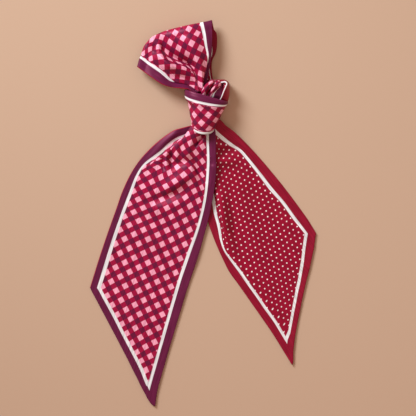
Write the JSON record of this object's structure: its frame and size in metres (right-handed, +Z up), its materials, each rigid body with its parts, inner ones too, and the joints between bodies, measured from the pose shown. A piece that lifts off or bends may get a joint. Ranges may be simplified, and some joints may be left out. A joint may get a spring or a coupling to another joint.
{
  "type": "knotted satin scarf",
  "caption": "Narrow double-sided satin scarf with angled ends, tied in a tie knot with a loop above it and two tails spread below, lying flat.",
  "frame": {"origin": "centre of the object's plan box, on the surface that the scarf lies on", "axes": "+X to the right, towards the dotted tail; +Y from the tails towards the loop; +Z up from the surface"},
  "size_m": [0.2264, 0.3852, 0.0247],
  "materials": {
    "check_satin": "polyester satin, gingham in rose, crimson and plum with a white stripe and a plum border",
    "dot_satin": "polyester satin, white pin dots on crimson with a white stripe and a crimson border",
    "border_satin": "polyester satin, plain plum"
  },
  "bodies": {
    "root": {"tail_check": "check_satin", "tail_dot": "dot_satin", "loop": "check_satin", "knot_wrap": "check_satin", "knot_core": "border_satin", "knot_tuck": "check_satin", "knot_turn": "dot_satin"}
  },
  "joints": []
}
